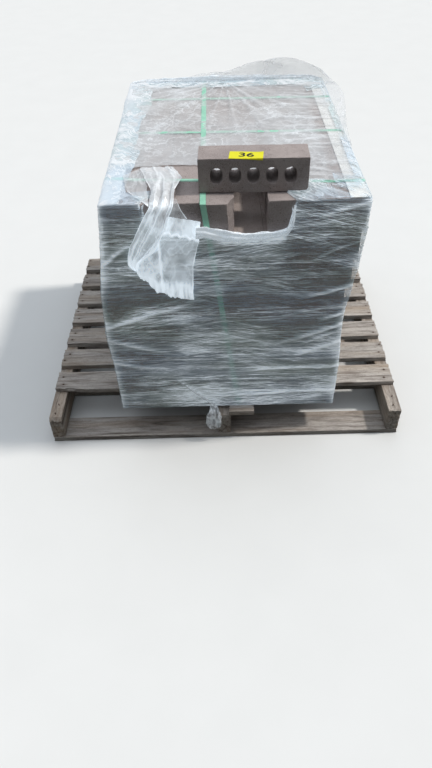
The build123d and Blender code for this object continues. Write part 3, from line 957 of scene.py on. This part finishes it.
def new_material(name, roughness, specular):
    """A material, its node tree and the inputs of its principled shader."""
    material = bpy.data.materials.new(name)
    material.use_nodes = True
    tree = material.node_tree
    shader = next(node for node in tree.nodes if node.type == "BSDF_PRINCIPLED").inputs
    shader["Roughness"].default_value = roughness
    shader["Specular IOR Level"].default_value = specular
    return material, tree, shader


def add_bump(tree, shader, height, strength, distance):
    links = {"Strength": strength, "Distance": distance, "Height": height}
    feed(tree, shader["Normal"], add_node(tree, "ShaderNodeBump", links).outputs[0])


def speckle_group():
    """Fine pits, broad mottling and small light and dark grains, as in fired clay."""
    group, given, result = shader_group("clay_speckle", {
        "Vector": "Vector", "Base": "Color", "Dark": "Color", "Light": "Color", "Pits": "Float"},
        {"Color": "Color", "Height": "Float"})
    vector = given["Vector"]
    broad = span_node(group, noise_node(group, vector, 16, 4), 0.3, 0.7)
    grain = noise_node(group, vector, 420, 2, 0.6)
    cells = add_node(group, "ShaderNodeTexVoronoi", {"Vector": vector, "Scale": 210.0, "Randomness": 1.0})
    pit = span_node(group, cells.outputs["Distance"], 0.16, 0.34, 1.0, 0.0)
    pit = times(group, pit, span_node(group, noise_node(group, vector, 70, 2), 0.45, 0.62))
    pit = times(group, pit, given["Pits"], clamp=True)
    tone = mix_node(group, span_node(group, grain, 0.3, 0.7), given["Dark"], given["Light"])
    body = mix_node(group, 0.42, given["Base"], tone)
    shaded = mix_node(group, times(group, broad, 0.45), body, given["Light"])
    feed(group, result["Color"], mix_node(group, times(group, pit, 0.8), shaded, given["Dark"]))
    feed(group, result["Height"], math_node(group, "SUBTRACT", times(group, grain, 0.5), pit))
    return group


def grain_group():
    """Weathered wood: long pale and dark streaks, fine checks and stains."""
    group, given, result = shader_group("wood_grain", {
        "Vector": "Vector", "Pale": "Color", "Dark": "Color", "Warm": "Color", "Crack": "Float"},
        {"Color": "Color", "Height": "Float"})
    vector = given["Vector"]
    streak = span_node(group, noise_node(group, vector, 1.0, 6, 0.6, 0.4), 0.32, 0.56, 0.22, 1.0)
    fine = noise_node(group, vector, 3.1, 5, 0.65)
    broad = span_node(group, noise_node(group, vector, 0.22, 3), 0.45, 0.7, 0.0, 0.65)
    check = line_node(group, fine, 0.5, 0.035)
    warm = mix_node(group, broad, mix_node(group, streak, given["Dark"], given["Pale"]), given["Warm"])
    dark = math_node(group, "MAXIMUM", times(group, check, 0.55), given["Crack"], clamp=True)
    feed(group, result["Color"], mix_node(group, dark, warm, given["Dark"]))
    feed(group, result["Height"], math_node(group, "SUBTRACT", fine, times(group, check, 0.6)))
    return group


def crease_group():
    """Film creases: thin bright lines, long and fine, and cloudy patches. The lines are milkier creased film
    and partly painted highlights on the creases.
    """
    group, given, result = shader_group("film_creases", {
        "Vector": "Vector", "Fine": "Float", "Milk": "Float", "Lines": "Float"},
        {"Cover": "Float", "Height": "Float"})
    vector = given["Vector"]
    long_lines = noise_node(group, vector, 1.0, 5, 0.62, 0.25)
    fine_lines = noise_node(group, vector, 2.6, 4, 0.6, 0.5)
    thin = times(group, line_node(group, fine_lines, 0.52, 0.025), given["Fine"])
    lines = math_node(group, "MAXIMUM", line_node(group, long_lines, 0.5, 0.04), thin)
    lines = times(group, lines, given["Lines"])
    strong = span_node(group, noise_node(group, vector, 0.31, 2), 0.35, 0.65, 0.35, 1.3)
    clouds = span_node(group, noise_node(group, vector, 0.16, 3), 0.3, 0.7, -0.14, 0.20)
    clouds = math_node(group, "ADD", given["Milk"], clouds)
    feed(group, result["Cover"], math_node(group, "ADD", clouds, times(group, lines, strong), clamp=True))
    feed(group, result["Height"], math_node(group, "MULTIPLY_ADD", fine_lines, 0.4, long_lines))
    return group


clay_speckle = speckle_group()
wood_grain = grain_group()
film_creases = crease_group()


def brick_material(name, base, light, toned):
    """Fired clay. Toned pieces carry one tone for each brick."""
    material, tree, shader = new_material(name, 0.86, 0.25)
    clay = add_node(tree, "ShaderNodeGroup", {
        "Vector": object_place(tree), "Base": base, "Dark": (0.09, 0.073, 0.07), "Light": light,
        "Pits": 0.9}, node_tree=clay_speckle).outputs
    color = own_shade(tree, clay["Color"], 0.76, 1.22) if toned else clay["Color"]
    feed(tree, shader["Base Color"], color)
    add_bump(tree, shader, clay["Height"], 0.6, 0.0012)
    return material


def wood_material(name, scale, knot_scale, pale, dark, warm):
    """Weathered wood with its grain along the board, dark in cracks, knots and at
    nails. Each board has its own tone."""
    material, tree, shader = new_material(name, 0.88, 0.2)
    knots = add_node(tree, "ShaderNodeTexVoronoi", {"Vector": object_place(tree, knot_scale), "Scale": 1.0})
    knot = span_node(tree, knots.outputs["Distance"], 0.035, 0.10, 0.8, 0.0)
    crack = math_node(tree, "MAXIMUM", attribute(tree, "crack"), knot)
    wood = add_node(tree, "ShaderNodeGroup", {
        "Vector": object_place(tree, scale), "Pale": pale, "Dark": dark, "Warm": warm,
        "Crack": crack}, node_tree=wood_grain).outputs
    feed(tree, shader["Base Color"], own_shade(tree, wood["Color"], 0.78, 1.2))
    add_bump(tree, shader, wood["Height"], 0.7, 0.0012)
    return material


SHADE_TINTS = (0.65, 0.80, 0.77), (0.68, 0.84, 1.0)
CLEAR_TINTS = (0.75, 0.76, 0.77), (0.71, 0.74, 0.77)
DENSE_TINT = (0.72, 0.745, 0.77)
SUN_THROUGH_FILM = (0.84, 0.96, 1.06)


def film_material(name, scale, milk, lines, fine, bump, glow, span,
                  roughness=0.3, tints=CLEAR_TINTS, leans=()):
    """Stretch film: milky plastic that covers more where it is creased or doubled.
    Each lean adds a family of slanting creases. A weak painted glow, on film milkier than the
    span given, stands for the sunlight that comes through it and, on the creases, for their glints."""
    material, tree, shader = new_material(name, roughness, 0.5)

    def crease_lines(place, milk, lines):
        links = {"Vector": place, "Fine": fine, "Milk": milk, "Lines": lines}
        outputs = add_node(tree, "ShaderNodeGroup", links, node_tree=film_creases).outputs
        return outputs["Cover"], outputs["Height"]

    milk = math_node(tree, "ADD", attribute(tree, "milk"), milk)
    cover, height = crease_lines(object_place(tree, scale), milk, lines)
    for number, lean in enumerate(leans):
        more_cover, more_height = crease_lines(slanted_place(tree, scale, lean), 0.0, 0.9 * lines)
        area = noise_node(tree, object_place(tree, (3, 3, 5), shift=(number * 3.7, 0, 1.3)), 1.0, 2)
        area = span_node(tree, area, 0.48, 0.62)
        cover = math_node(tree, "MULTIPLY_ADD", more_cover, area, cover, clamp=True)
        height = math_node(tree, "MULTIPLY_ADD", more_height, area, height)
    patch = noise_node(tree, object_place(tree, (2.2, 2.2, 6)), 1.0, 3)
    tint = mix_node(tree, span_node(tree, patch, 0.4, 0.6), *tints)
    feed(tree, shader["Base Color"], mix_node(tree, span_node(tree, cover, 0.45, 0.95), tint, DENSE_TINT))
    feed(tree, shader["Alpha"], cover)
    # Painted glow: emission where the film is milky, standing for sunlight through it and glints on its
    # creases
    lit = times(tree, attribute(tree, "glow"), span_node(tree, cover, *span))
    feed(tree, shader["Emission Color"], mix_node(tree, lit, (0.0, 0.0, 0.0), SUN_THROUGH_FILM))
    shader["Emission Strength"].default_value = glow
    add_bump(tree, shader, height, bump, 0.002)
    return material


def strap_material():
    """Mint green strap with a pressed pattern of small diamonds."""
    material, tree, shader = new_material("mint_strap", 0.38, 0.5)
    place = object_place(tree, turn=(0, 0, math.radians(45)))
    pattern = add_node(tree, "ShaderNodeTexChecker", {"Vector": place, "Scale": 480.0}).outputs["Fac"]
    tone = span_node(tree, noise_node(tree, place, 30, 3), 0.35, 0.65)
    color = mix_node(tree, tone, (0.20, 0.50, 0.36), (0.30, 0.62, 0.46))
    pressed = mix_node(tree, times(tree, pattern, 0.25), color, (0.5, 0.78, 0.65))
    feed(tree, shader["Base Color"], pressed)
    add_bump(tree, shader, pattern, 0.5, 0.0005)
    return material


def mottled_material(name, roughness, specular, colors, patches, grain=None):
    """Two colors in soft patches, which are (scale, detail, from, to, strongest), with
    a fine grain, if any, which is (scale, detail, strength, depth)."""
    material, tree, shader = new_material(name, roughness, specular)
    place = object_place(tree)
    share = span_node(tree, noise_node(tree, place, *patches[:2]), *patches[2:4], 0.0, patches[4])
    feed(tree, shader["Base Color"], mix_node(tree, share, *colors))
    if grain:
        add_bump(tree, shader, noise_node(tree, place, *grain[:2]), *grain[2:])
    return material


open_clay = brick_material("clay_open", (0.27, 0.23, 0.22), (0.48, 0.415, 0.395), True)
plain_clay = brick_material("clay_covered", (0.25, 0.205, 0.19), (0.42, 0.36, 0.33), False)
deck_wood = wood_material("deck_wood", (7, 85, 60), (2.6, 9, 9),
                          (0.46, 0.42, 0.385), (0.12, 0.095, 0.08), (0.37, 0.29, 0.22))
stringer_wood = wood_material("stringer_wood", (80, 7, 80), (9, 2.6, 9),
                              (0.45, 0.40, 0.355), (0.12, 0.092, 0.075), (0.40, 0.30, 0.22))
wrap_film = film_material("film_side", (2.4, 2.4, 75), 0.0, 0.62, 0.9, 0.6, 0.37, (0.5, 1.0),
                          tints=SHADE_TINTS, leans=(0.30, -0.20))
top_film = film_material("film_top", (15, 15, 12), 0.16, 0.26, 0.7, 0.6, 0.0, (0, 1))
flap_film = film_material("film_loose", (9, 9, 5), 0.24, 0.25, 0.6, 0.35, 0.62, (0.1, 0.9))
fold_film = film_material("film_fold", (5, 5, 4), 0.06, 0.07, 0.4, 0.3, 0.3, (0.2, 1.0), roughness=0.2)
rope_film = film_material("film_bunched", (30, 30, 90), 0.10, 0.35, 0.8, 0.5, 0.35, (0.2, 0.9))
mint_strap = strap_material()
edge_board = mottled_material("white_edge_board", 0.62, 0.3, ((0.72, 0.72, 0.70), (0.54, 0.49, 0.42)),
                              (22, 5, 0.5, 0.75, 0.5), (260, 3, 0.25, 0.0008))
rusty_nail = mottled_material("rusty_nail", 0.75, 0.4, ((0.035, 0.025, 0.02), (0.12, 0.06, 0.035)),
                              (700, 4, 0.35, 0.65, 1.0), (900, 2, 0.5, 0.0005))
yellow_label = mottled_material("yellow_label", 0.55, 0.4, ((0.68, 0.635, 0.0), (0.72, 0.68, 0.01)),
                                (60, 3, 0.3, 0.7, 1.0), (500, 2, 0.15, 0.0004))
label_ink = mottled_material("label_ink", 0.6, 0.3, ((0.012, 0.012, 0.012), (0.03, 0.03, 0.028)),
                             (300, 3, 0.0, 1.0, 1.0))


def dress(material, *names):
    """Gives CAD nodes a material."""
    for name in names:
        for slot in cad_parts[name].material_slots:
            slot.material = material


# Bricks

# Steps across a hole's cell, up the side and through, for bricks far off and near
FAR_DETAIL, NEAR_DETAIL = (4, 6, 2), (12, 22, 14)


def stack_bricks():
    """The top course: side by side with their holes across, and a crosswise row behind,
    which a short brick with fewer holes closes."""
    bricks, closer_holes = [], 2
    for row in range(row_count):
        for column in range(column_count):
            if row == 0 and abs(column - missing_column) < 2:
                continue
            x, jitter = load_left + column * column_pitch, 0.6 * MM * noise(column * 3.3, row * 5.1, 0, 21)
            corner = (x, load_front + row * row_pitch + jitter, top_course_base)
            bricks.append((corner, False, brick_length, hole_count, 100 + row * 10 + column, FAR_DETAIL, []))
    closer = load_right - load_left - 2 * (brick_length + side_joint)
    cross_row = [(load_left, brick_length, hole_count),
                 (load_left + brick_length + side_joint, closer, closer_holes),
                 (load_right - brick_length, brick_length, hole_count)]
    for number, (x, length, holes) in enumerate(cross_row):
        corner = (x, cross_row_front, top_course_base)
        bricks.append((corner, True, length, holes, 140 + number, FAR_DETAIL, []))
    return bricks


def near_brick(name, corner, along_x, seed, cuts):
    """One brick that shows from near, with finer steps."""
    return brick_piece(name, [(corner, along_x, brick_length, hole_count, seed, NEAR_DETAIL, cuts)])


stack = brick_piece("top_course_worn", stack_bricks())
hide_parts("top_course_bricks")

# The plane of the broken corner passes through three points, each this far from the corner
break_along, break_across, break_drop = 44 * MM, 21 * MM, 290 * MM
break_plane = ((0, brick_width - break_across, brick_height),
               (-1 / break_along, 1 / break_across, 1 / break_drop))
broken = near_brick("broken_brick_worn", node_box("broken_brick")[0], False, 151, [break_plane])
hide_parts("broken_brick")

# The brick right of the gap, rubbed down at its upper left front corner
right_of_gap = near_brick("gap_brick_worn", gap_low, False, 152,
                          [((0, 3 * MM, brick_height - 3 * MM), (-0.6, -1, 1))])
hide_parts("gap_brick")

# The loose brick: turned a little, with a chip at its lower right front corner and the
# upper one rubbed down
chip = 9 * MM
loose = near_brick("loose_brick_worn", (-brick_length / 2, -brick_width / 2, 0), True, 160, [
    ((brick_length - chip, 0, 0), (1, -1, -0.5)),
    ((brick_length * 0.995, 0, brick_height), (1, -0.6, 0.8))])
loose.data.transform(on_loose_brick(loose_low[2]))
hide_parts("loose_brick")

# Boards
for number in range(2, 9):
    board_piece(f"deck_board_{number}", True, 11 * MM, 3.2 * MM, deck_wood, 200 + number * 7,
                splintered if number == 2 else None)
for number in range(1, 6):
    board_piece(f"bottom_board_{number}", True, 20 * MM, 6 * MM, deck_wood, 300 + number * 7)
board_piece("lead_board_stub", True, 4 * MM, 3.2 * MM, deck_wood, 371, snapped_left)
board_piece("stringer_left", False, 11 * MM, 3.2 * MM, stringer_wood, 401, worn_front)
board_piece("stringer_middle", False, 14 * MM, 4 * MM, stringer_wood, 411)
board_piece("stringer_right", False, 11 * MM, 3.2 * MM, stringer_wood, 421)
nail_heads(rusty_nail)

# Film
film_over_top(top_film)
film_wrap(wrap_film)
film_hood(fold_film)
film_rear_band(rope_film)
film_flap(flap_film)
film_tail(rope_film)
film_tear_roll(rope_film)

# CAD nodes that keep their shape
dress(plain_clay, "hidden_brick_core", *[f"course_{course}_bricks" for course in range(1, 8)])
dress(mint_strap, "strap_front", "strap_middle", "strap_rear", "strap_lengthwise")
dress(edge_board, "edge_board_left", "edge_board_right")
dress(rusty_nail, "lead_board_nails")

label_sheet(yellow_label)
label_number(label_ink)


# Camera, light and floor

def place_camera():
    """Stands where the photograph was taken from, pitched down, turned and rolled."""
    pitch, yaw, roll = [math.radians(angle) for angle in (CAMERA_PITCH, CAMERA_YAW, CAMERA_ROLL)]
    ahead = np.array([math.sin(yaw) * math.cos(pitch), math.cos(yaw) * math.cos(pitch), -math.sin(pitch)])
    level = np.array([math.cos(yaw), -math.sin(yaw), 0.0])
    upright = np.cross(level, ahead)
    right = math.cos(roll) * level + math.sin(roll) * upright
    up = math.cos(roll) * upright - math.sin(roll) * level
    camera = add_object("camera", bpy.data.cameras.new("camera"))
    camera.data.lens = FOCAL_PIXELS * camera.data.sensor_width / IMAGE_HEIGHT
    camera.data.clip_start = 0.05
    turn = Matrix((tuple(right), tuple(up), tuple(-ahead))).transposed().to_4x4()
    camera.matrix_world = Matrix.Translation(CAMERA_PLACE) @ turn
    bpy.context.scene.camera = camera


def directly_seen(tree):
    """1 for what the camera sees, also in gloss and through glass; 0 for light that bounces."""
    seen = add_node(tree, "ShaderNodeLightPath").outputs
    direct = math_node(tree, "MAXIMUM", seen["Is Camera Ray"], seen["Is Glossy Ray"])
    return math_node(tree, "MAXIMUM", direct, seen["Is Transmission Ray"])


def pale_floor():
    """A pale floor. Light that bounces off it is dimmer than it looks, as off a
    matt grey one, so that the sides in shade stay darker than the top."""
    material, tree, shader = new_material("pale_floor", 0.9, 0.1)
    share = noise_node(tree, object_place(tree), 5, 3)
    color = mix_node(tree, share, (0.655, 0.655, 0.645), (0.69, 0.69, 0.68))
    feed(tree, shader["Base Color"], mix_node(tree, directly_seen(tree), (0.105, 0.11, 0.10), color))
    reach, below = 14, -1 * MM
    edge = np.linspace(-reach, reach, 9)
    vertices, faces = join_grids([plane_grid(edge, edge, below, 0)])
    mesh = bpy.data.meshes.new("floor")
    mesh.from_pydata(vertices.tolist(), [], faces.tolist())
    mesh.materials.append(material)
    add_object("floor", mesh)


def soft_light():
    """A broad lamp high on the right, and a sky that is bright overhead and dim low
    down, so that level faces in shade stay lighter than upright ones."""
    light = add_object("key", bpy.data.lights.new("key", "SUN"))
    light.data.energy, light.data.angle, light.data.color = 2.35, math.radians(5), (1.0, 0.96, 0.90)
    light_from = Vector((0.72, 0.06, 1.0))
    light.matrix_world = light_from.to_track_quat("Z", "Y").to_matrix().to_4x4()
    world = bpy.data.worlds.new("studio")
    world.use_nodes = True
    bpy.context.scene.world = world
    tree = world.node_tree
    background = next(node for node in tree.nodes if node.type == "BACKGROUND").inputs
    place = add_node(tree, "ShaderNodeTexCoord").outputs["Generated"]
    axes = add_node(tree, "ShaderNodeSeparateXYZ", {0: place}).outputs
    height = math_node(tree, "MULTIPLY_ADD", axes["Y"], 0.22, axes["Z"], clamp=True)
    rise = math_node(tree, "POWER", height, 2.4)
    sky = mix_node(tree, rise, (0.07, 0.075, 0.08), (1.40, 1.50, 1.62))
    feed(tree, background["Color"], mix_node(tree, directly_seen(tree), sky, (0.62, 0.64, 0.66)))
    background["Strength"].default_value = 1.0


place_camera()
pale_floor()
soft_light()
bpy.context.scene.view_settings.view_transform = "Standard"

bpy.context.view_layer.update()
